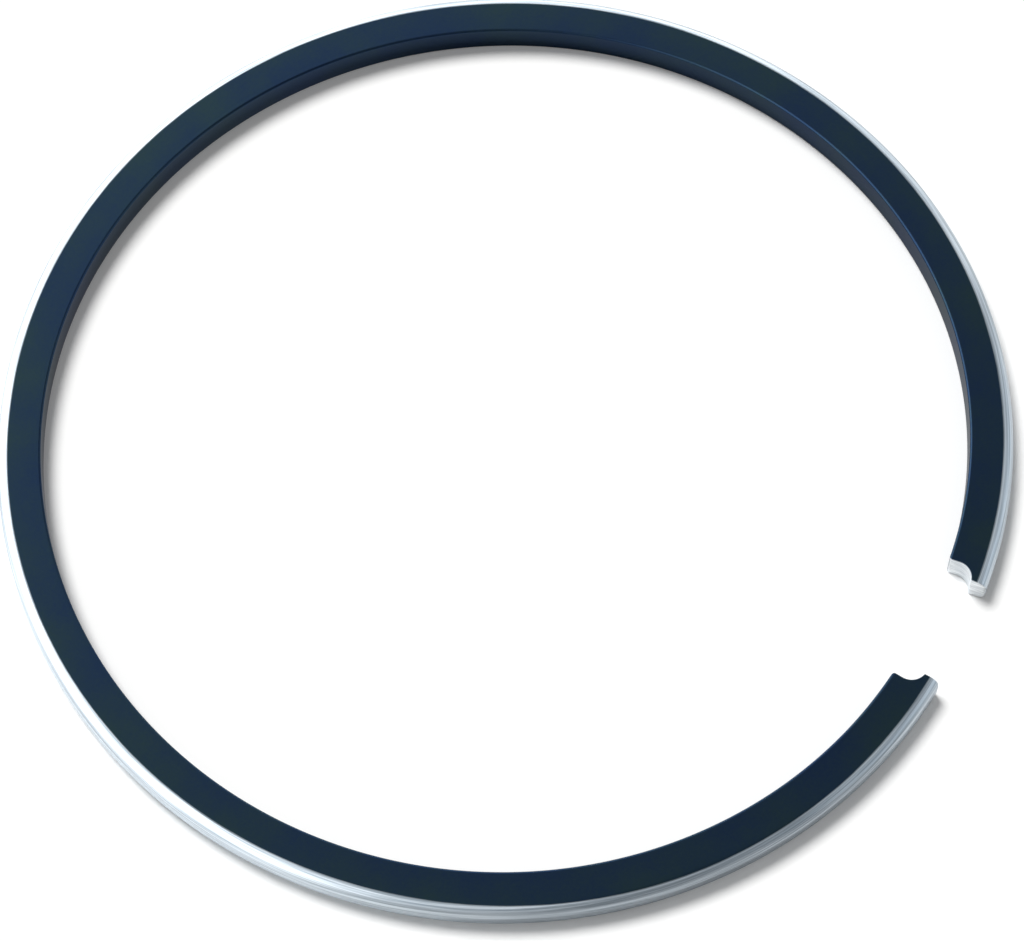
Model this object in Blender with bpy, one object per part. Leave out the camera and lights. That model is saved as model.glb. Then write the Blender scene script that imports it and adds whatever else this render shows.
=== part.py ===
"""Piston ring of a small two-stroke engine, in its free, sprung-open state.

The ring lies flat on its lower side face, with its gap on +X.
Closed in its cylinder it is a true circle.
Let go, it opens along the curve that gives it an even pressure on the wall.
"""

import math

import bmesh
import bpy

# The cylinder that the ring closes into, and the ring's own section.
BORE_DIAMETER = 0.0470
RING_HEIGHT = 0.0015
RADIAL_THICKNESS = 0.0021

# Gap left between the ends once the ring is in its cylinder.
CLOSED_GAP = 0.0002

# Half of the share of its curvature that the free ring has lost opposite the gap.
SPRING_SHARE = 0.0234

# Both edges of the running face are rounded, so that they pass the ports in the cylinder wall.
RUNNING_EDGE_RADIUS = 0.0005
INNER_EDGE_RADIUS = 0.0001

# Each end carries half of the seat for the stop pin in the piston's groove.
# What is left outside the seat is the horn.
PIN_SEAT_RADIUS = 0.0008
HORN_THICKNESS = 0.0008
SEAT_CORNER_RADIUS = 0.00015

# Fineness of the mesh.
STATIONS_PER_HALF = 120
STEPS_PER_STATION = 8
RUNNING_EDGE_FACETS = 6
INNER_EDGE_FACETS = 2
SEAT_FACETS = 12
SEAT_CORNER_FACETS = 3

# How far the seat's cutter reaches past the metal that it cuts.
CUTTER_MARGIN = 0.0010

NEUTRAL_RADIUS = (BORE_DIAMETER - RADIAL_THICKNESS) / 2
HALF_THICKNESS = RADIAL_THICKNESS / 2
QUARTER_TURN = math.pi / 2
SMOOTH_ANGLE = math.radians(32)


def clear_scene():
    """Remove whatever the scene holds."""
    for scene_object in list(bpy.data.objects):
        bpy.data.objects.remove(scene_object, do_unlink=True)


def turned_angle(closed_angle):
    """Angle that the free ring has turned through, at a point's angle on the closed ring.

    Both are counted from the point opposite the gap.
    The free curvature is the closed one times 1 - SPRING_SHARE * (1 + cos(closed_angle)),
    and this is its integral.
    """
    return closed_angle - SPRING_SHARE * (closed_angle + math.sin(closed_angle))


def free_half_line():
    """Points (x, y, turned angle) on the middle of the section, from the back to one end."""
    end_angle = math.pi - CLOSED_GAP / 2 / NEUTRAL_RADIUS
    step = end_angle / (STATIONS_PER_HALF * STEPS_PER_STATION)
    x = -NEUTRAL_RADIUS
    y = 0.0
    stations = [(x, y, 0.0)]
    for station in range(STATIONS_PER_HALF):
        for part in range(STEPS_PER_STATION):
            middle = (station * STEPS_PER_STATION + part + 0.5) * step
            x += NEUTRAL_RADIUS * step * math.sin(turned_angle(middle))
            y += NEUTRAL_RADIUS * step * math.cos(turned_angle(middle))
        reached = (station + 1) * STEPS_PER_STATION * step
        stations.append((x, y, turned_angle(reached)))
    return stations


def beside(station, outward, onward=0.0):
    """Point that lies outward from a station and onward along the ring."""
    x, y, turned = station
    return (
        x - outward * math.cos(turned) + onward * math.sin(turned),
        y + outward * math.sin(turned) + onward * math.cos(turned),
    )


def rounded_corner(centre, radius, start, facets):
    """Points of a quarter circle about a centre, anticlockwise from the start angle."""
    points = []
    for index in range(facets + 1):
        angle = start + QUARTER_TURN * index / facets
        points.append((
            centre[0] + radius * math.cos(angle),
            centre[1] + radius * math.sin(angle),
        ))
    return points


def section_outline():
    """The section as (outward, height) points, anticlockwise from the running face's top."""
    outer = HALF_THICKNESS - RUNNING_EDGE_RADIUS
    inner = -HALF_THICKNESS + INNER_EDGE_RADIUS
    low_outer = (outer, RUNNING_EDGE_RADIUS)
    top_outer = (outer, RING_HEIGHT - RUNNING_EDGE_RADIUS)
    low_inner = (inner, INNER_EDGE_RADIUS)
    top_inner = (inner, RING_HEIGHT - INNER_EDGE_RADIUS)
    points = rounded_corner(top_outer, RUNNING_EDGE_RADIUS, 0, RUNNING_EDGE_FACETS)
    points += rounded_corner(top_inner, INNER_EDGE_RADIUS, QUARTER_TURN, INNER_EDGE_FACETS)
    points += rounded_corner(low_inner, INNER_EDGE_RADIUS, 2 * QUARTER_TURN, INNER_EDGE_FACETS)
    points += rounded_corner(low_outer, RUNNING_EDGE_RADIUS, 3 * QUARTER_TURN, RUNNING_EDGE_FACETS)
    return points


def seat_outline():
    """Outline, as (outward, onward) points, of what each end gives up to the pin's seat.

    Onward is counted from the tip of the ring into the gap. The seat's centre lies
    half of the closed gap beyond the tip, so that both halves make one slot.
    """
    centre_outward = HALF_THICKNESS - HORN_THICKNESS - PIN_SEAT_RADIUS
    centre_onward = CLOSED_GAP / 2
    beyond = centre_onward + CUTTER_MARGIN
    below = -HALF_THICKNESS - CUTTER_MARGIN
    points = [(centre_outward + PIN_SEAT_RADIUS, beyond)]
    for index in range(SEAT_FACETS + 1):
        angle = QUARTER_TURN * index / SEAT_FACETS
        points.append((
            centre_outward + PIN_SEAT_RADIUS * math.cos(angle),
            centre_onward - PIN_SEAT_RADIUS * math.sin(angle),
        ))
    side_onward = centre_onward - PIN_SEAT_RADIUS
    for index in range(SEAT_CORNER_FACETS + 1):
        angle = QUARTER_TURN * index / SEAT_CORNER_FACETS
        points.append((
            -HALF_THICKNESS + SEAT_CORNER_RADIUS * (1 - math.sin(angle)),
            side_onward - SEAT_CORNER_RADIUS * (1 - math.cos(angle)),
        ))
    points.append((below, side_onward - SEAT_CORNER_RADIUS))
    points.append((below, beyond))
    return points


def closed_mesh(name, rings):
    """Mesh through equal rings of points, one after another, with both ends capped."""
    shell = bmesh.new()
    loops = [[shell.verts.new(point) for point in ring] for ring in rings]
    count = len(loops[0])
    for near, far in zip(loops, loops[1:]):
        for index in range(count):
            after = (index + 1) % count
            shell.faces.new((near[index], near[after], far[after], far[index]))
    shell.faces.new(loops[0])
    shell.faces.new(loops[-1])
    bmesh.ops.recalc_face_normals(shell, faces=shell.faces)
    mesh = bpy.data.meshes.new(name)
    shell.to_mesh(mesh)
    shell.free()
    return mesh


def add_object(name, mesh):
    """Put a mesh into the scene under its own name."""
    made = bpy.data.objects.new(name, mesh)
    bpy.context.scene.collection.objects.link(made)
    return made


def mirrored(ring):
    """The same ring of points on the other side of the gap's middle plane."""
    return [(x, -y, z) for x, y, z in ring]


def ring_mesh(stations, shift):
    """The whole ring: its section carried from one end round the back to the other."""
    outline = section_outline()
    half = []
    for station in stations:
        ring = []
        for outward, height in outline:
            x, y = beside(station, outward)
            ring.append((x + shift, y, height))
        half.append(ring)
    far_half = [mirrored(ring) for ring in half[1:]]
    return closed_mesh("piston_ring", far_half[::-1] + half)


def seat_prism(name, tip, shift, flip):
    """Upright prism that cuts one half of the pin's seat."""
    rings = []
    for height in (-CUTTER_MARGIN, RING_HEIGHT + CUTTER_MARGIN):
        ring = []
        for outward, onward in seat_outline():
            x, y = beside(tip, outward, onward)
            ring.append((x + shift, y, height))
        rings.append(mirrored(ring) if flip else ring)
    return add_object(name, closed_mesh(name, rings))


def dark_iron():
    """Cast iron with a blue-black phosphate coat."""
    material = bpy.data.materials.new("dark_coated_iron")
    material.use_nodes = True
    shader = material.node_tree.nodes["Principled BSDF"]
    shader.inputs["Base Color"].default_value = (0.014, 0.027, 0.042, 1.0)
    shader.inputs["Metallic"].default_value = 0.85
    shader.inputs["Roughness"].default_value = 0.45
    return material


def build():
    """Make the ring and cut the pin's seat out of its two ends."""
    clear_scene()
    stations = free_half_line()
    reach = [beside(station, HALF_THICKNESS)[0] for station in stations]
    shift = -(min(reach) + max(reach)) / 2

    ring = add_object("piston_ring", ring_mesh(stations, shift))
    ring.data.materials.append(dark_iron())
    ring.data.shade_smooth()
    ring.data.set_sharp_from_angle(angle=SMOOTH_ANGLE)

    for name, flip in (("left_seat_cutter", False), ("right_seat_cutter", True)):
        cutter = seat_prism(name, stations[-1], shift, flip)
        cutter.hide_render = True
        cutter.display_type = "WIRE"
        cut = ring.modifiers.new(name, "BOOLEAN")
        cut.operation = "DIFFERENCE"
        cut.solver = "EXACT"
        cut.object = cutter


build()
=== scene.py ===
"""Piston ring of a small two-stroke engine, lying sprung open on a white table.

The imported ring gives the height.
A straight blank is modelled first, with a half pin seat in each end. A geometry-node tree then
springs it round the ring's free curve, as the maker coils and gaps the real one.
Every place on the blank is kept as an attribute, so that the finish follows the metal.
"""

import logging
import math
from dataclasses import dataclass
from enum import Enum

import bmesh
import bpy
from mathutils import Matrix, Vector


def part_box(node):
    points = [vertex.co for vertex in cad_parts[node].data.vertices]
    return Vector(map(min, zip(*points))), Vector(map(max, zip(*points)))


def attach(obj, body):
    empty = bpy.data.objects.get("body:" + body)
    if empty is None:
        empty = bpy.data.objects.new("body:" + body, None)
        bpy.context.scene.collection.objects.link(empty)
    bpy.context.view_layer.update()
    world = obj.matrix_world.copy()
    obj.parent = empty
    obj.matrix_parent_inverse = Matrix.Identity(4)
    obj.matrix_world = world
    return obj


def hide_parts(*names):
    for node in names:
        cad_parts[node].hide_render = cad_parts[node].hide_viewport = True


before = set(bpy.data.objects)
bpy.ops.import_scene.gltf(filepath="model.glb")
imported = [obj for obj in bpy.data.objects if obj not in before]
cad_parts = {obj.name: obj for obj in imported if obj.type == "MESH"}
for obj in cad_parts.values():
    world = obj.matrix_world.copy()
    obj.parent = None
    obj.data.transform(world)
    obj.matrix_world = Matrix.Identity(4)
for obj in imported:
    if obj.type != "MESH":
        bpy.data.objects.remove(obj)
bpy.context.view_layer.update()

LOG = logging.getLogger("piston_ring")

MM = 0.001
QUARTER_TURN = math.pi / 2

# Octaves of noise: two for marks that the render only just resolves, and more for broad ones.
FINE_DETAIL = 2.0
CLOUD_DETAIL = 3.0
RIM_DETAIL = 4.0
NOISE_MIDDLE = 0.5

CAD_NODE = "piston_ring"
BODY = "root"
PIECE_NAME = "compression_ring"
BLANK_PLACE = "blank_place"
GROUND_END = "ground_end"

Plan = tuple[float, float]
Point = tuple[float, float, float]
Socket = bpy.types.NodeSocket
NodeInput = Socket | bpy.types.Node | bpy.types.Material | float | int | tuple | str


def linear(hex_colour: str) -> tuple[float, float, float, float]:
    """Turn an sRGB hex colour into the linear RGBA that shaders take.

    Args:
        hex_colour: Six hex digits after a hash sign.

    Returns:
        The linear red, green and blue, with an alpha of 1.
    """
    channels = []
    for start in (1, 3, 5):
        value = int(hex_colour[start:start + 2], 16) / 255
        channels.append(value / 12.92 if value <= 0.04045 else ((value + 0.055) / 1.055) ** 2.4)
    return channels[0], channels[1], channels[2], 1.0


def grey(value: float) -> tuple[float, float, float, float]:
    """Give the linear RGBA that has one value in all three channels."""
    return value, value, value, 1.0


def add_node(
    tree: bpy.types.NodeTree,
    kind: str,
    inputs: dict[int | str, NodeInput] | None = None,
    **settings: str | bool,
) -> bpy.types.Node:
    """Add a node with its settings, and give its inputs their values or links.

    Args:
        tree: The node tree that it goes into.
        kind: The node's type name.
        inputs: A value, a socket or a node for each input, by its name or number.
            A node stands for its first output.
        **settings: The node's own settings.

    Returns:
        The new node.
    """
    node = tree.nodes.new(kind)
    for name, value in settings.items():
        setattr(node, name, value)
    for key, value in (inputs or {}).items():
        if isinstance(value, bpy.types.Node):
            value = value.outputs[0]
        if isinstance(value, bpy.types.NodeSocket):
            tree.links.new(value, node.inputs[key])
        else:
            node.inputs[key].default_value = value
    return node


def direction(azimuth: float, elevation: float) -> Vector:
    """Give the unit vector at an azimuth, counted from +X, and an elevation."""
    level = math.cos(elevation)
    return Vector((level * math.cos(azimuth), level * math.sin(azimuth), math.sin(elevation)))


class Zone(Enum):
    """Stretch of the section that a lengthwise row of the blank lies on."""

    RUNNING_FACE = "running face"
    RUNNING_EDGE = "running edge"
    SIDE_FACE = "side face"
    INNER_EDGE = "inner edge"
    INNER_WALL = "inner wall"


@dataclass(frozen=True)
class Row:
    """Lengthwise row of the blank's upper half.

    Outward is counted from the middle of the section and height from the lower side face.
    Facing is the way that the surface looks there, as (outward, up).
    """

    outward: float
    height: float
    facing: Plan
    zone: Zone


@dataclass(frozen=True)
class RingEnd:
    """Plan of one end of the ring: the horn, and half of the seat for the stop pin."""

    half_thickness: float
    half_closed_gap: float
    horn_thickness: float = 0.8 * MM
    seat_radius: float = 0.8 * MM
    seat_corner: float = 0.15 * MM
    tip_corner: float = 0.08 * MM
    tip_rows: int = 4
    seat_rows: int = 10
    side_rows: int = 2
    corner_rows: int = 2

    @property
    def seat_centre(self) -> Plan:
        """Centre of the pin's seat, as (outward, onward from the tip)."""
        return self.half_thickness - self.horn_thickness - self.seat_radius, self.half_closed_gap

    @property
    def tip_centre(self) -> Plan:
        """Centre of the small round between the horn's end and the seat."""
        reach = self.seat_radius + self.tip_corner
        rise = self.tip_corner + self.half_closed_gap
        return self.seat_centre[0] + math.sqrt(reach**2 - rise**2), -self.tip_corner

    @property
    def seat_start(self) -> float:
        """Outward place at which the tip's round runs into the seat."""
        centre = self.seat_centre[0]
        share = self.seat_radius / (self.seat_radius + self.tip_corner)
        return centre + (self.tip_centre[0] - centre) * share

    def onward(self, outward: float) -> float:
        """Find where the metal ends, counted onward from the ring's tip.

        Args:
            outward: Place across the ring.

        Returns:
            The place along the ring, which is 0 on the horn's end face and below 0 short of it.
        """
        corner = self.tip_corner
        wall = outward - (self.half_thickness - corner)
        if wall > 0:
            return math.sqrt(max(corner**2 - wall**2, 0.0)) - corner
        if outward >= self.tip_centre[0]:
            return 0.0
        if outward >= self.seat_start:
            return math.sqrt(corner**2 - (self.tip_centre[0] - outward) ** 2) - corner
        centre, beyond = self.seat_centre
        if outward >= centre:
            return beyond - math.sqrt(self.seat_radius**2 - (outward - centre) ** 2)
        side = beyond - self.seat_radius
        inner = self.seat_corner - self.half_thickness - outward
        if inner > 0:
            side += math.sqrt(max(self.seat_corner**2 - inner**2, 0.0)) - self.seat_corner
        return side

    def facing(self, outward: float) -> Plan:
        """Find the way that the end looks in plan.

        Args:
            outward: Place across the ring.

        Returns:
            A unit direction as (outward, onward), pointing out of the metal.
        """
        step = 0.0005 * MM
        rise = self.onward(outward + step) - self.onward(outward - step)
        size = math.hypot(rise, 2 * step)
        return -rise / size, 2 * step / size

    def places_across(self) -> list[float]:
        """List the outward places at which rows are needed to draw the end.

        Returns:
            The places, from the horn to the inner corner.
        """
        tip, _ = self.tip_centre
        centre, beyond = self.seat_centre
        places = []
        slope = math.asin((beyond + self.tip_corner) / (self.seat_radius + self.tip_corner))
        for index in range(self.tip_rows):
            turn = (QUARTER_TURN - slope) * index / self.tip_rows
            places.append(tip - self.tip_corner * math.sin(turn))
        for index in range(self.seat_rows):
            turn = slope + (QUARTER_TURN - slope) * index / self.seat_rows
            places.append(centre + self.seat_radius * math.cos(turn))
        corner = self.seat_corner - self.half_thickness
        for index in range(self.side_rows):
            places.append(centre + (corner - centre) * index / self.side_rows)
        for index in range(self.corner_rows):
            turn = QUARTER_TURN * index / self.corner_rows / 2
            places.append(corner - self.seat_corner * math.sin(turn))
        return places


@dataclass(frozen=True)
class RingSection:
    """Section across the ring, with rounded running edges and broken inner edges."""

    half_thickness: float
    height: float
    running_edge_reach: float = 0.5 * MM
    running_edge_drop: float = 0.5 * MM
    inner_edge: float = 0.1 * MM
    support: float = 0.015 * MM
    running_edge_steps: int = 8
    inner_edge_steps: int = 3

    @property
    def edge_start(self) -> float:
        """Outward place at which the side face turns into the running edge."""
        return self.half_thickness - self.running_edge_reach

    def upper_rows(self, end: RingEnd) -> list[Row]:
        """List the rows of the upper half, from the running face to the inner wall.

        Args:
            end: The ring's end, which needs rows of its own across the side face.

        Returns:
            The rows. A support row lies close to each place where a round begins.
        """
        drop = self.height - self.running_edge_drop
        rows = [Row(self.half_thickness, drop - self.support, (1.0, 0.0), Zone.RUNNING_FACE)]
        for index in range(self.running_edge_steps + 1):
            angle = QUARTER_TURN * index / self.running_edge_steps
            facing = Vector((math.cos(angle) * self.running_edge_drop,
                             math.sin(angle) * self.running_edge_reach)).normalized()
            rows.append(Row(
                self.edge_start + self.running_edge_reach * math.cos(angle),
                drop + self.running_edge_drop * math.sin(angle),
                (facing.x, facing.y),
                Zone.RUNNING_EDGE,
            ))
        inner = self.inner_edge - self.half_thickness
        first, last = self.edge_start - self.support, inner + self.support
        across = [place for place in end.places_across() if last < place < first]
        for place in (first, *across, last):
            rows.append(Row(place, self.height, (0.0, 1.0), Zone.SIDE_FACE))
        low = self.height - self.inner_edge
        for index in range(self.inner_edge_steps + 1):
            angle = QUARTER_TURN * index / self.inner_edge_steps
            rows.append(Row(
                inner - self.inner_edge * math.sin(angle),
                low + self.inner_edge * math.cos(angle),
                (-math.sin(angle), math.cos(angle)),
                Zone.INNER_EDGE,
            ))
        rows.append(Row(-self.half_thickness, low - self.support, (-1.0, 0.0), Zone.INNER_WALL))
        return rows


@dataclass(frozen=True)
class RingBlank:
    """Straight blank of the ring: x along it from its middle, y outward and z up."""

    section: RingSection
    end: RingEnd
    half_length: float
    station: float = 0.3 * MM
    end_zone: float = 2.0 * MM
    end_edge: float = 0.04 * MM
    run_in_steps: int = 14
    run_in_crowding: float = 1.5
    end_edge_steps: int = 4

    def row_to_cap(self, row: Row) -> list[Point]:
        """Draw one row from the start of the end zone, over the end's edge and on to its wall.

        Args:
            row: A row of the upper half.

        Returns:
            The row's points, in order.
        """
        across, along = 0.0, 1.0
        if row.zone is Zone.SIDE_FACE:
            across, along = self.end.facing(row.outward)
        start = self.half_length - self.end_zone
        tip = self.half_length + self.end.onward(row.outward)
        inset = self.end_edge + self.section.support
        points = []
        for index in range(1, self.run_in_steps + 1):
            share = 1 - (1 - index / self.run_in_steps) ** self.run_in_crowding
            points.append((
                start + (tip - along * inset - start) * share,
                row.outward - across * inset * share,
                row.height,
            ))
        sinks = []
        for index in range(self.end_edge_steps + 1):
            angle = QUARTER_TURN * index / self.end_edge_steps
            sinks.append((
                self.end_edge * (1 - math.sin(angle)),
                self.end_edge * (1 - math.cos(angle)),
            ))
        sinks.append((0.0, inset))
        for back, sunk in sinks:
            points.append((
                tip - along * back,
                row.outward - across * back - row.facing[0] * sunk,
                row.height - row.facing[1] * sunk,
            ))
        return points

    def closed_column(self, upper: list[Point]) -> list[Point]:
        """Join an upper half column with its mirror image below.

        Args:
            upper: The column's upper points, from the running face to the inner wall.

        Returns:
            The whole column, back to the running face.
        """
        whole = self.section.height
        lower = [(along, outward, whole - height) for along, outward, height in upper]
        return upper + lower[::-1]

    def columns(self) -> list[list[Point]]:
        """List every column of the blank, from one end to the other.

        Returns:
            The columns, each a closed loop of points round the section.
        """
        rows = self.section.upper_rows(self.end)
        plain = self.half_length - self.end_zone
        # An even count puts a column at the back of the ring, where it is widest.
        count = 2 * round(plain / self.station)
        middle = []
        for index in range(count + 1):
            along = plain * (2 * index / count - 1)
            middle.append(self.closed_column([(along, row.outward, row.height) for row in rows]))
        to_cap = [self.closed_column(list(upper)) for upper in zip(*map(self.row_to_cap, rows))]
        from_cap = [[(-along, y, z) for along, y, z in column] for column in reversed(to_cap)]
        return from_cap + middle + to_cap

    def cap_faces(self, count: int) -> list[list[int]]:
        """List the faces that close one end, by their places in its last column.

        Args:
            count: How many points the column has.

        Returns:
            The faces. The first and the last also take in the support rows beside them.
        """
        half = count // 2
        faces = [[0, 1, 2, count - 3, count - 2, count - 1]]
        for index in range(2, half - 3):
            faces.append([index, index + 1, count - 2 - index, count - 1 - index])
        faces.append([half - 3, half - 2, half - 1, half, half + 1, half + 2])
        return faces

    def mesh(self) -> bpy.types.Mesh:
        """Build the blank as one closed mesh.

        Returns:
            The mesh, shaded smooth, with its faces pointing out.
        """
        shell = bmesh.new()
        ground = shell.verts.layers.float.new(GROUND_END)
        loops = [[shell.verts.new(point) for point in column] for column in self.columns()]
        for depth in range(self.end_edge_steps + 2):
            for vertex in (*loops[depth], *loops[-1 - depth]):
                vertex[ground] = 1 - max(0, depth - 1) / self.end_edge_steps
        count = len(loops[0])
        for near, far in zip(loops, loops[1:]):
            for index in range(count):
                after = (index + 1) % count
                shell.faces.new((near[index], near[after], far[after], far[index]))
        for loop in (loops[0], loops[-1]):
            for corners in self.cap_faces(count):
                shell.faces.new([loop[corner] for corner in corners])
        bmesh.ops.recalc_face_normals(shell, faces=shell.faces)
        for face in shell.faces:
            face.smooth = True
        mesh = bpy.data.meshes.new("ring_blank")
        shell.to_mesh(mesh)
        shell.free()
        return mesh


@dataclass(frozen=True)
class FreeCurve:
    """Curve that the ring springs open to, so that it presses evenly once it is closed."""

    neutral_radius: float
    closed_gap: float
    spring_share: float = 0.0234
    steps: int = 1920

    @property
    def end_angle(self) -> float:
        """Angle on the closed ring from the point opposite the gap to one tip."""
        return math.pi - self.closed_gap / 2 / self.neutral_radius

    @property
    def half_length(self) -> float:
        """Length along the neutral line from the point opposite the gap to one tip."""
        return self.neutral_radius * self.end_angle

    def turned_angle_tree(self) -> bpy.types.NodeTree:
        """Build the rule of the free curve as a node group.

        Returns:
            The group. It gives the angle that the free ring has turned through at an angle on
            the closed ring: closed - share * (closed + sin(closed)).
        """
        tree = bpy.data.node_groups.new("turned_angle", "GeometryNodeTree")
        tree.interface.new_socket("Closed Angle", in_out="INPUT", socket_type="NodeSocketFloat")
        tree.interface.new_socket("Spring Share", in_out="INPUT", socket_type="NodeSocketFloat")
        tree.interface.new_socket("Turned Angle", in_out="OUTPUT", socket_type="NodeSocketFloat")
        given = add_node(tree, "NodeGroupInput")
        closed, share = given.outputs["Closed Angle"], given.outputs["Spring Share"]
        sine = add_node(tree, "ShaderNodeMath", {0: closed}, operation="SINE")
        both = add_node(tree, "ShaderNodeMath", {0: closed, 1: sine}, operation="ADD")
        lost = add_node(tree, "ShaderNodeMath", {0: both, 1: share}, operation="MULTIPLY")
        turned = add_node(tree, "ShaderNodeMath", {0: closed, 1: lost}, operation="SUBTRACT")
        add_node(tree, "NodeGroupOutput", {"Turned Angle": turned})
        return tree

    def tree(self) -> bpy.types.NodeTree:
        """Build the node tree that springs a straight blank round the free curve.

        Returns:
            The tree, with the curve's sizes and the finish as its named inputs.
        """
        tree = bpy.data.node_groups.new("free_curve", "GeometryNodeTree")
        for name, kind in (
            ("Blank", "NodeSocketGeometry"),
            ("Neutral Radius", "NodeSocketFloat"),
            ("Spring Share", "NodeSocketFloat"),
            ("Closed Gap", "NodeSocketFloat"),
            ("Steps", "NodeSocketInt"),
            ("Finish", "NodeSocketMaterial"),
        ):
            tree.interface.new_socket(name, in_out="INPUT", socket_type=kind)
        tree.interface.new_socket("Ring", in_out="OUTPUT", socket_type="NodeSocketGeometry")
        given = add_node(tree, "NodeGroupInput").outputs
        radius, steps, share = given["Neutral Radius"], given["Steps"], given["Spring Share"]
        turned_angle = self.turned_angle_tree()

        # Angle on the closed ring from the middle of the blank to its tip.
        gap_angle = add_node(
            tree, "ShaderNodeMath", {0: given["Closed Gap"], 1: radius}, operation="DIVIDE"
        )
        end_angle = add_node(
            tree, "ShaderNodeMath", {0: gap_angle, 1: -0.5, 2: math.pi}, operation="MULTIPLY_ADD"
        )
        whole = add_node(tree, "ShaderNodeMath", {0: end_angle, 1: 2.0}, operation="MULTIPLY")
        step = add_node(tree, "ShaderNodeMath", {0: whole, 1: steps}, operation="DIVIDE")

        # Neutral line: one short chord after another, each in the direction of its middle.
        index = add_node(tree, "GeometryNodeInputIndex")
        middle = add_node(tree, "ShaderNodeMath", {0: index, 1: 0.5}, operation="ADD")
        reached = add_node(tree, "ShaderNodeMath", {0: middle, 1: step}, operation="MULTIPLY")
        angle = add_node(tree, "ShaderNodeMath", {0: reached, 1: end_angle}, operation="SUBTRACT")
        turned = add_node(
            tree,
            "GeometryNodeGroup",
            {"Closed Angle": angle, "Spring Share": share},
            node_tree=turned_angle,
        )
        sine = add_node(tree, "ShaderNodeMath", {0: turned}, operation="SINE")
        cosine = add_node(tree, "ShaderNodeMath", {0: turned}, operation="COSINE")
        heading = add_node(tree, "ShaderNodeCombineXYZ", {"X": sine, "Y": cosine})
        length = add_node(tree, "ShaderNodeMath", {0: step, 1: radius}, operation="MULTIPLY")
        chord = add_node(
            tree, "ShaderNodeVectorMath", {0: heading, "Scale": length}, operation="SCALE"
        )
        walked = add_node(
            tree,
            "GeometryNodeAccumulateField",
            {0: chord},
            data_type="FLOAT_VECTOR",
            domain="POINT",
        )
        points = add_node(tree, "ShaderNodeMath", {0: steps, 1: 1.0}, operation="ADD")
        line = add_node(
            tree,
            "GeometryNodeMeshLine",
            {"Count": points, "Offset": (0.0, 0.0, 0.0)},
            mode="OFFSET",
        )
        placed = add_node(
            tree,
            "GeometryNodeSetPosition",
            {"Geometry": line, "Position": walked.outputs["Trailing"]},
        )
        neutral_line = add_node(tree, "GeometryNodeMeshToCurve", {"Mesh": placed})

        # Each point of the blank keeps its own place and is carried to the neutral line.
        position = add_node(tree, "GeometryNodeInputPosition")
        kept = add_node(
            tree,
            "GeometryNodeStoreNamedAttribute",
            {"Geometry": given["Blank"], "Name": BLANK_PLACE, "Value": position},
            data_type="FLOAT_VECTOR",
            domain="POINT",
        )
        place = add_node(tree, "ShaderNodeSeparateXYZ", {0: position}).outputs
        closed = add_node(tree, "ShaderNodeMath", {0: place["X"], 1: radius}, operation="DIVIDE")
        from_tip = add_node(tree, "ShaderNodeMath", {0: closed, 1: end_angle}, operation="ADD")
        factor = add_node(tree, "ShaderNodeMath", {0: from_tip, 1: whole}, operation="DIVIDE")
        sample = add_node(
            tree,
            "GeometryNodeSampleCurve",
            {"Curves": neutral_line, "Factor": factor},
            mode="FACTOR",
            use_all_curves=True,
        )
        facing = add_node(
            tree,
            "GeometryNodeGroup",
            {"Closed Angle": closed, "Spring Share": share},
            node_tree=turned_angle,
        )
        outward_y = add_node(tree, "ShaderNodeMath", {0: facing}, operation="SINE")
        cosine = add_node(tree, "ShaderNodeMath", {0: facing}, operation="COSINE")
        outward_x = add_node(tree, "ShaderNodeMath", {0: cosine, 1: -1.0}, operation="MULTIPLY")
        outward = add_node(tree, "ShaderNodeCombineXYZ", {"X": outward_x, "Y": outward_y})
        beside = add_node(
            tree, "ShaderNodeVectorMath", {0: outward, "Scale": place["Y"]}, operation="SCALE"
        )
        lift = add_node(tree, "ShaderNodeCombineXYZ", {"Z": place["Z"]})
        raised = add_node(tree, "ShaderNodeVectorMath", {0: beside, 1: lift}, operation="ADD")
        sprung_place = add_node(
            tree,
            "ShaderNodeVectorMath",
            {0: sample.outputs["Position"], 1: raised},
            operation="ADD",
        )
        sprung = add_node(
            tree, "GeometryNodeSetPosition", {"Geometry": kept, "Position": sprung_place}
        )

        # The ring's frame has its origin under the middle of its box.
        box = add_node(tree, "GeometryNodeBoundBox", {"Geometry": sprung})
        corners = add_node(
            tree,
            "ShaderNodeVectorMath",
            {0: box.outputs["Min"], 1: box.outputs["Max"]},
            operation="ADD",
        )
        back = add_node(
            tree, "ShaderNodeVectorMath", {0: corners, 1: (-0.5, -0.5, 0.0)}, operation="MULTIPLY"
        )
        centred = add_node(tree, "GeometryNodeSetPosition", {"Geometry": sprung, "Offset": back})
        real = add_node(tree, "GeometryNodeRealizeInstances", {"Geometry": centred})
        finished = add_node(
            tree, "GeometryNodeSetMaterial", {"Geometry": real, "Material": given["Finish"]}
        )
        add_node(tree, "NodeGroupOutput", {"Ring": finished})
        return tree


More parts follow.
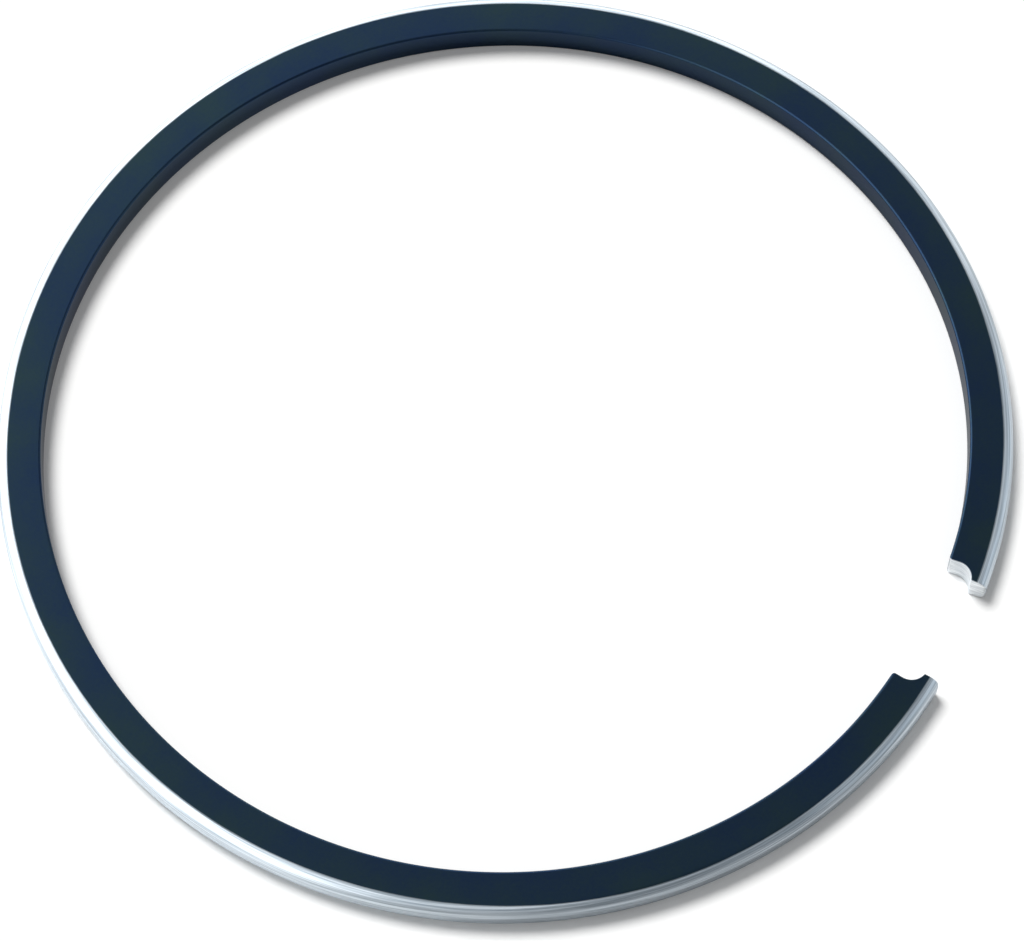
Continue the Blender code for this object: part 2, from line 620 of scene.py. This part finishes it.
@dataclass(frozen=True)
class PhosphateCoat:
    """Blue-black phosphate coat on cast iron that was ground flat first.

    It gives the eye a dark satin that drifts from navy to a greener slate towards the rim.
    The slanting arcs of the grinding and a fine crystal grain show where the light catches them.
    """

    navy_tone: str = "#1E3049"
    slate_tone: str = "#26393F"
    metallic: float = 0.9
    roughness: float = 0.32
    # Matt crystals have little of the sheen that smooth metal shows at low angles.
    sheen: float = 0.6
    cloud: float = 3.0 * MM
    rim_drift: float = 0.15
    drift_start: float = 0.45
    drift_end: float = 1.05
    # The real crystals measure about 0.01 mm. They are drawn this coarse so that they show.
    grain: float = 0.12 * MM
    grain_depth: float = 0.004 * MM
    grain_share: float = 0.5
    # The real grinding lines lie about 0.02 mm apart. They too are drawn coarser.
    arc_spacing: float = 0.06 * MM
    arc_length: float = 2.5 * MM
    arc_slant: float = math.radians(35.0)
    arc_share: float = 0.6

    def look(
        self, tree: bpy.types.NodeTree, place: Socket, half_thickness: float
    ) -> tuple[Socket, Socket]:
        """Draw the coat's clouds, crystals and grinding arcs.

        Args:
            tree: The material's tree.
            place: Socket that gives the place on the straight blank.
            half_thickness: Outward place at which the drift of the tone is complete.

        Returns:
            Sockets that give the coat's colour and its relief.
        """
        clouds = add_node(
            tree,
            "ShaderNodeTexNoise",
            {"Vector": place, "Scale": 1 / self.cloud, "Detail": CLOUD_DETAIL},
        )
        grain = add_node(
            tree,
            "ShaderNodeTexNoise",
            {"Vector": place, "Scale": 1 / self.grain, "Detail": FINE_DETAIL},
        )
        mottled = add_node(
            tree,
            "ShaderNodeMath",
            {0: grain.outputs["Fac"], 1: self.grain_share, 2: clouds.outputs["Fac"]},
            operation="MULTIPLY_ADD",
        )
        outward = add_node(tree, "ShaderNodeSeparateXYZ", {0: place}).outputs["Y"]
        drift = add_node(
            tree,
            "ShaderNodeMath",
            {0: outward, 1: self.rim_drift / half_thickness, 2: mottled},
            operation="MULTIPLY_ADD",
        )
        share = add_node(
            tree,
            "ShaderNodeMapRange",
            {"Value": drift, "From Min": self.drift_start, "From Max": self.drift_end},
        )
        colour = add_node(
            tree,
            "ShaderNodeMix",
            {0: share, 6: linear(self.navy_tone), 7: linear(self.slate_tone)},
            data_type="RGBA",
        )
        slanted = add_node(
            tree,
            "ShaderNodeMapping",
            {
                "Vector": place,
                "Rotation": (0.0, 0.0, self.arc_slant),
                "Scale": (self.arc_length, self.arc_spacing, self.arc_spacing),
            },
            vector_type="TEXTURE",
        )
        arcs = add_node(
            tree, "ShaderNodeTexNoise", {"Vector": slanted, "Scale": 1.0, "Detail": FINE_DETAIL}
        )
        relief = add_node(
            tree,
            "ShaderNodeMix",
            {0: self.arc_share, 2: grain.outputs["Fac"], 3: arcs.outputs["Fac"]},
            data_type="FLOAT",
        )
        return colour.outputs[2], relief.outputs[0]


@dataclass(frozen=True)
class BareIron:
    """Bare cast iron with fine lines, darker in the lines and paler between them."""

    tone: str
    line_tone: str
    roughness: float
    # Length of one line's cell along the ring, outward and up.
    line_sizes: Point
    metallic: float = 1.0
    sheen: float = 1.0
    # The noise of the lines stays within about this much of its middle.
    line_spread: float = 0.2

    def look(self, tree: bpy.types.NodeTree, place: Socket) -> tuple[Socket, Socket]:
        """Draw the metal with its fine lines.

        Args:
            tree: The material's tree.
            place: Socket that gives the place on the straight blank.

        Returns:
            Sockets that give the metal's colour and its relief.
        """
        scale = tuple(1 / size for size in self.line_sizes)
        stretched = add_node(tree, "ShaderNodeMapping", {"Vector": place, "Scale": scale})
        noise = add_node(
            tree, "ShaderNodeTexNoise", {"Vector": stretched, "Scale": 1.0, "Detail": FINE_DETAIL}
        )
        relief = noise.outputs["Fac"]
        share = add_node(
            tree,
            "ShaderNodeMapRange",
            {
                "Value": relief,
                "From Min": NOISE_MIDDLE - self.line_spread,
                "From Max": NOISE_MIDDLE + self.line_spread,
            },
        )
        colour = add_node(
            tree,
            "ShaderNodeMix",
            {0: share, 6: linear(self.line_tone), 7: linear(self.tone)},
            data_type="RGBA",
        )
        return colour.outputs[2], relief


@dataclass(frozen=True)
class LappedIron(BareIron):
    """Bare cast iron of the running face, lapped bright in a cylinder.

    It gives the eye a soft silver sheen, streaked by fine lines that run round the ring.
    """

    tone: str = "#DAE3EA"
    line_tone: str = "#96A1AA"
    roughness: float = 0.42
    # The real lapping lines lie about 0.01 mm apart. They are drawn this coarse so that they show.
    line_sizes: Point = (5.0 * MM, 0.07 * MM, 0.07 * MM)
    line_depth: float = 0.0012 * MM


@dataclass(frozen=True)
class GroundIron(BareIron):
    """Bare cast iron of the two ends and their pin seats, cut with a grinding wheel.

    It gives the eye a paler and duller grey than the lapped face, with level scratches.
    """

    tone: str = "#F0F3F5"
    line_tone: str = "#BBC1C6"
    roughness: float = 0.5
    # The real scratches lie about 0.01 mm apart. They are drawn this coarse so that they show.
    line_sizes: Point = (1.0 * MM, 1.0 * MM, 0.06 * MM)


@dataclass(frozen=True)
class RingFinish:
    """Finish of the whole ring: phosphate everywhere but on the bare running face and the ends."""

    coat: PhosphateCoat
    bare: LappedIron
    cut: GroundIron
    edge_start: float
    half_thickness: float
    rim_fade: float = 0.1 * MM
    rim_wander: float = 0.03 * MM
    rim_wave: float = 1.2 * MM
    # Near one end the cylinder has worn less of the coat off the rounded edge.
    kept_place: float = -56.0 * MM
    kept_reach: float = 16.0 * MM
    kept_width: float = 0.13 * MM

    def bare_share(self, tree: bpy.types.NodeTree, place: Socket, ground: Socket) -> Socket:
        """Mask the bare metal, with the coat's slightly uneven rim.

        Args:
            tree: The material's tree.
            place: Socket that gives the place on the straight blank.
            ground: Socket that gives 1 on the ground ends.

        Returns:
            A socket that gives 1 on bare metal and 0 on the coat.
        """
        parts = add_node(tree, "ShaderNodeSeparateXYZ", {0: place}).outputs
        waves = add_node(
            tree,
            "ShaderNodeTexNoise",
            {"Vector": place, "Scale": 1 / self.rim_wave, "Detail": RIM_DETAIL},
        )
        wander = add_node(
            tree,
            "ShaderNodeMath",
            {0: waves.outputs["Fac"], 1: self.rim_wander, 2: -self.rim_wander * NOISE_MIDDLE},
            operation="MULTIPLY_ADD",
        )
        off_place = add_node(
            tree, "ShaderNodeMath", {0: parts["X"], 1: self.kept_place}, operation="SUBTRACT"
        )
        distance = add_node(tree, "ShaderNodeMath", {0: off_place}, operation="ABSOLUTE")
        kept = add_node(
            tree,
            "ShaderNodeMapRange",
            {
                "Value": distance,
                "From Max": self.kept_reach,
                "To Min": self.kept_width,
                "To Max": 0.0,
            },
            interpolation_type="SMOOTHSTEP",
        )
        uneven = add_node(tree, "ShaderNodeMath", {0: wander, 1: kept}, operation="SUBTRACT")
        outward = add_node(tree, "ShaderNodeMath", {0: parts["Y"], 1: uneven}, operation="ADD")
        past_rim = add_node(
            tree,
            "ShaderNodeMapRange",
            {
                "Value": outward,
                "From Min": self.edge_start - self.rim_fade / 2,
                "From Max": self.edge_start + self.rim_fade / 2,
            },
            interpolation_type="SMOOTHSTEP",
        )
        both = add_node(tree, "ShaderNodeMath", {0: past_rim, 1: ground}, operation="MAXIMUM")
        return both.outputs[0]

    def material(self) -> bpy.types.Material:
        """Build the ring's material.

        Returns:
            One material, whose nodes lay the coat over the bare metal.
        """
        material = bpy.data.materials.new("phosphated_and_lapped_cast_iron")
        material.use_nodes = True
        tree = material.node_tree
        shader = tree.nodes["Principled BSDF"]
        place = add_node(tree, "ShaderNodeAttribute", attribute_name=BLANK_PLACE).outputs["Vector"]
        ground = add_node(tree, "ShaderNodeAttribute", attribute_name=GROUND_END).outputs["Fac"]
        bare = self.bare_share(tree, place, ground)
        coat_colour, coat_relief = self.coat.look(tree, place, self.half_thickness)
        bare_colour, bare_relief = self.bare.look(tree, place)
        cut_colour, _ = self.cut.look(tree, place)

        metal_colour = add_node(
            tree, "ShaderNodeMix", {0: ground, 6: bare_colour, 7: cut_colour}, data_type="RGBA"
        )
        colour = add_node(
            tree,
            "ShaderNodeMix",
            {0: bare, 6: coat_colour, 7: metal_colour.outputs[2]},
            data_type="RGBA",
        )
        face_roughness = add_node(
            tree,
            "ShaderNodeMapRange",
            {"Value": bare, "To Min": self.coat.roughness, "To Max": self.bare.roughness},
        )
        roughness = add_node(
            tree,
            "ShaderNodeMix",
            {0: ground, 2: face_roughness, 3: self.cut.roughness},
            data_type="FLOAT",
        )
        metallic = add_node(
            tree,
            "ShaderNodeMapRange",
            {"Value": bare, "To Min": self.coat.metallic, "To Max": self.bare.metallic},
        )
        sheen = add_node(
            tree,
            "ShaderNodeMix",
            {0: bare, 6: grey(self.coat.sheen), 7: grey(self.bare.sheen)},
            data_type="RGBA",
        )
        height = add_node(
            tree, "ShaderNodeMix", {0: bare, 2: coat_relief, 3: bare_relief}, data_type="FLOAT"
        )
        depth = add_node(
            tree,
            "ShaderNodeMapRange",
            {"Value": bare, "To Min": self.coat.grain_depth, "To Max": self.bare.line_depth},
        )
        bump = add_node(tree, "ShaderNodeBump", {"Height": height, "Distance": depth})
        for name, source in (
            ("Base Color", colour.outputs[2]),
            ("Specular Tint", sheen.outputs[2]),
            ("Roughness", roughness.outputs[0]),
            ("Metallic", metallic.outputs[0]),
            ("Normal", bump.outputs[0]),
        ):
            tree.links.new(source, shader.inputs[name])
        return material


@dataclass(frozen=True)
class PistonRing:
    """The ring itself: one piece of cast iron in its free state."""

    height: float
    bore_diameter: float = 47.0 * MM
    radial_thickness: float = 2.1 * MM
    closed_gap: float = 0.2 * MM

    @property
    def half_thickness(self) -> float:
        """Half of the radial thickness."""
        return self.radial_thickness / 2

    def curve(self) -> FreeCurve:
        """Give the curve that the ring springs open to."""
        return FreeCurve(self.bore_diameter / 2 - self.half_thickness, self.closed_gap)

    def blank(self) -> RingBlank:
        """Give the straight blank that the ring is sprung from."""
        section = RingSection(self.half_thickness, self.height)
        end = RingEnd(self.half_thickness, self.closed_gap / 2)
        return RingBlank(section, end, self.curve().half_length)

    def finish(self, blank: RingBlank) -> bpy.types.Material:
        """Build the ring's material to fit its blank.

        Args:
            blank: The blank, whose section says where the bare metal begins.

        Returns:
            The material.
        """
        section = blank.section
        return RingFinish(
            PhosphateCoat(), LappedIron(), GroundIron(), section.edge_start, section.half_thickness
        ).material()

    def sprung(self, blank: RingBlank) -> bpy.types.Mesh:
        """Spring the blank round the free curve.

        Args:
            blank: The straight blank.

        Returns:
            A plain mesh of the ring, with its material.
        """
        carrier = bpy.data.objects.new("ring_blank", blank.mesh())
        bpy.context.scene.collection.objects.link(carrier)
        curve = self.curve()
        tree = curve.tree()
        values = {
            "Neutral Radius": curve.neutral_radius,
            "Spring Share": curve.spring_share,
            "Closed Gap": curve.closed_gap,
            "Steps": curve.steps,
            "Finish": self.finish(blank),
        }
        modifier = carrier.modifiers.new("free_curve", "NODES")
        modifier.node_group = tree
        for item in tree.interface.items_tree:
            if item.in_out == "INPUT" and item.name in values:
                modifier[item.identifier] = values[item.name]
        graph = bpy.context.evaluated_depsgraph_get()
        mesh = bpy.data.meshes.new_from_object(
            carrier.evaluated_get(graph), preserve_all_data_layers=True, depsgraph=graph
        )
        carrier.modifiers.remove(modifier)
        bpy.data.objects.remove(carrier)
        return mesh

    def build(self) -> bpy.types.Object:
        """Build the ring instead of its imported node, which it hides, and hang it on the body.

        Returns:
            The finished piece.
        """
        mesh = self.sprung(self.blank())
        mesh.name = PIECE_NAME
        piece = bpy.data.objects.new(PIECE_NAME, mesh)
        bpy.context.scene.collection.objects.link(piece)
        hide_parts(CAD_NODE)
        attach(piece, BODY)
        return piece


@dataclass(frozen=True)
class RoomLight:
    """Soft bright part of the room, such as a lit wall, as mirrors see it.

    It has its full strength inside its core and fades out to its edge.
    """

    azimuth: float
    elevation: float
    core: float
    edge: float
    strength: float
    tone: str = "#FFFFFF"

    def add_to(self, tree: bpy.types.NodeTree, light: NodeInput) -> bpy.types.Node:
        """Add this light to the room's other light.

        Args:
            tree: The world's tree.
            light: The light that the room has so far.

        Returns:
            A node that gives both together.
        """
        way = add_node(tree, "ShaderNodeTexCoord").outputs["Generated"]
        pole = direction(math.radians(self.azimuth), math.radians(self.elevation))
        cosine = add_node(tree, "ShaderNodeVectorMath", {0: way, 1: pole}, operation="DOT_PRODUCT")
        angle = add_node(
            tree, "ShaderNodeMath", {0: cosine.outputs["Value"]}, operation="ARCCOSINE"
        )
        share = add_node(
            tree,
            "ShaderNodeMapRange",
            {
                "Value": angle,
                "From Min": math.radians(self.core),
                "From Max": math.radians(self.edge),
                "To Min": self.strength,
                "To Max": 0.0,
            },
            interpolation_type="SMOOTHSTEP",
        )
        return add_node(
            tree,
            "ShaderNodeVectorMath",
            {0: share, 1: linear(self.tone)[:3], 2: light},
            operation="MULTIPLY_ADD",
        )


@dataclass(frozen=True)
class TablePatch:
    """Part of the table that only mirrors see, with painted light of its own: a painted glow in
    one patch, a painted shade in another.

    It sets in past one distance from the middle of the ring, counted towards its azimuth,
    and is complete at another.
    """

    azimuth: float
    start: float
    full: float

    def share(self, tree: bpy.types.NodeTree) -> bpy.types.Node:
        """Mask the patch.

        Args:
            tree: The table's tree.

        Returns:
            A node that gives 1 where a mirror sees the patch, and 0 elsewhere and to the camera.
        """
        place = add_node(tree, "ShaderNodeTexCoord").outputs["Object"]
        mirrored = add_node(tree, "ShaderNodeLightPath").outputs["Is Glossy Ray"]
        towards = direction(math.radians(self.azimuth), 0.0)
        reach = add_node(
            tree, "ShaderNodeVectorMath", {0: place, 1: towards}, operation="DOT_PRODUCT"
        )
        return add_node(
            tree,
            "ShaderNodeMapRange",
            {
                "Value": reach.outputs["Value"],
                "From Min": self.start,
                "From Max": self.full,
                "To Max": mirrored,
            },
            interpolation_type="SMOOTHSTEP",
        )


@dataclass(frozen=True)
class Studio:
    """White table under one soft lamp, with the camera at the photograph's angle."""

    floor_side: float = 4.0
    floor_drop: float = 0.01 * MM
    floor_tone: str = "#F8F8F7"
    floor_glow: float = 0.08
    # Mirrors see the table with a painted glow, brighter on the lamp's side, and with a painted
    # shade, duller in a patch across from it where the ring's soft shadow lies.
    painted_glow_patch: TablePatch = TablePatch(205.0, 1.0 * MM, 13.0 * MM)
    painted_glow_strength: float = 0.32
    painted_shade_patch: TablePatch = TablePatch(317.0, 22.2 * MM, 24.0 * MM)
    painted_shade_tone: str = "#D8D8D8"
    lamp_azimuth: float = math.radians(159.0)
    lamp_elevation: float = math.radians(61.5)
    lamp_width: float = math.radians(26.0)
    lamp_strength: float = 2.83
    ambient: float = 0.25
    ceiling_tone: str = "#7D8185"
    # Azimuth, elevation, core and edge in degrees, then the strength.
    room_lights: tuple[RoomLight, ...] = (
        RoomLight(216.0, 29.0, 27.0, 62.0, 3.0),
        RoomLight(145.0, 20.0, 20.0, 53.0, 2.5),
        RoomLight(93.0, 17.0, 8.0, 31.0, 1.7),
        RoomLight(32.0, 22.0, 10.0, 44.0, 0.95, "#F0F8FF"),
    )
    camera_azimuth: float = math.radians(26.61)
    camera_elevation: float = math.radians(64.03)
    camera_distance: float = 189.715 * MM
    camera_target: Point = (1.293 * MM, -1.534 * MM, 0.75 * MM)
    lens: float = 140.2
    sensor: float = 36.0
    clip_start: float = 1.9 * MM

    def floor(self) -> bpy.types.Object:
        """Lay the white table.

        Returns:
            The floor.
        """
        half = self.floor_side / 2
        mesh = bpy.data.meshes.new("white_table")
        plan = ((-half, -half), (half, -half), (half, half), (-half, half))
        mesh.from_pydata([(x, y, -self.floor_drop) for x, y in plan], [], [(0, 1, 2, 3)])
        material = bpy.data.materials.new("matt_white_card")
        material.use_nodes = True
        tree = material.node_tree
        shader = tree.nodes["Principled BSDF"]
        shader.inputs["Roughness"].default_value = 1.0
        shader.inputs["Specular IOR Level"].default_value = 0.0
        shader.inputs["Emission Color"].default_value = grey(1.0)
        # Painted shade: mirrors see the table darker in a patch across from the lamp, where the
        # ring's soft shadow lies.
        tone = add_node(
            tree,
            "ShaderNodeMix",
            {
                0: self.painted_shade_patch.share(tree),
                6: linear(self.floor_tone),
                7: linear(self.painted_shade_tone),
            },
            data_type="RGBA",
        )
        # Painted glow: mirrors see the table glow brighter towards the lamp's side, as if it were
        # more strongly lit.
        bright = add_node(
            tree,
            "ShaderNodeMath",
            {0: self.painted_glow_patch.share(tree), 1: self.painted_glow_strength},
            operation="MULTIPLY",
        )
        seen = add_node(tree, "ShaderNodeLightPath").outputs["Is Camera Ray"]
        glow = add_node(
            tree,
            "ShaderNodeMath",
            {0: seen, 1: self.floor_glow, 2: bright},
            operation="MULTIPLY_ADD",
        )
        tree.links.new(tone.outputs[2], shader.inputs["Base Color"])
        tree.links.new(glow.outputs[0], shader.inputs["Emission Strength"])
        mesh.materials.append(material)
        floor = bpy.data.objects.new("white_table", mesh)
        bpy.context.scene.collection.objects.link(floor)
        return floor

    def lamp(self) -> bpy.types.Object:
        """Hang the soft lamp at the upper left.

        Returns:
            The lamp.
        """
        data = bpy.data.lights.new("soft_lamp", "SUN")
        data.energy = self.lamp_strength
        data.angle = self.lamp_width
        lamp = bpy.data.objects.new("soft_lamp", data)
        towards = direction(self.lamp_azimuth, self.lamp_elevation)
        lamp.rotation_euler = towards.to_track_quat("Z", "Y").to_euler()
        lamp.location = towards
        # The room holds the lamp's soft image for mirrors, so the lamp itself isn't mirrored.
        lamp.visible_glossy = False
        bpy.context.scene.collection.objects.link(lamp)
        return lamp

    def surroundings(self) -> bpy.types.World:
        """Make the white room: dim as light on the ring, and white where it is seen.

        Mirrors see a dimmer ceiling, and soft bright walls round the lamp and across from it.

        Returns:
            The world.
        """
        world = bpy.data.worlds.new("white_room")
        world.use_nodes = True
        tree = world.node_tree
        background = tree.nodes["Background"]
        mirrored = linear(self.ceiling_tone)[:3]
        for light in self.room_lights:
            mirrored = light.add_to(tree, mirrored)
        path = add_node(tree, "ShaderNodeLightPath").outputs
        seen = add_node(
            tree,
            "ShaderNodeMapRange",
            {"Value": path["Is Camera Ray"], "To Min": self.ambient, "To Max": 1.0},
        )
        colour = add_node(
            tree,
            "ShaderNodeMix",
            {0: path["Is Glossy Ray"], 6: seen, 7: mirrored},
            data_type="RGBA",
        )
        tree.links.new(colour.outputs[2], background.inputs["Color"])
        bpy.context.scene.world = world
        return world

    def camera(self) -> bpy.types.Object:
        """Set the camera where the photograph was taken from.

        Returns:
            The camera.
        """
        data = bpy.data.cameras.new("camera")
        data.lens = self.lens
        data.sensor_width = self.sensor
        data.sensor_fit = "HORIZONTAL"
        data.clip_start = self.clip_start
        camera = bpy.data.objects.new("camera", data)
        back = direction(self.camera_azimuth - QUARTER_TURN, self.camera_elevation)
        camera.location = Vector(self.camera_target) + back * self.camera_distance
        camera.rotation_euler = back.to_track_quat("Z", "Y").to_euler()
        bpy.context.scene.collection.objects.link(camera)
        bpy.context.scene.camera = camera
        return camera

    def build(self) -> None:
        """Set up the table, the lamp, the room and the camera."""
        self.floor()
        self.lamp()
        self.surroundings()
        self.camera()
        bpy.context.scene.view_settings.view_transform = "Standard"


def main() -> None:
    """Build the ring and its studio, and report each piece."""
    logging.basicConfig(level=logging.INFO, format="%(message)s")
    Studio().build()
    low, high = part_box(CAD_NODE)
    piece = PistonRing(height=high.z - low.z).build()
    finish = piece.data.materials[0].name
    LOG.info("%s: %d faces, material %s", piece.name, len(piece.data.polygons), finish)


if __name__ == "__main__":
    main()
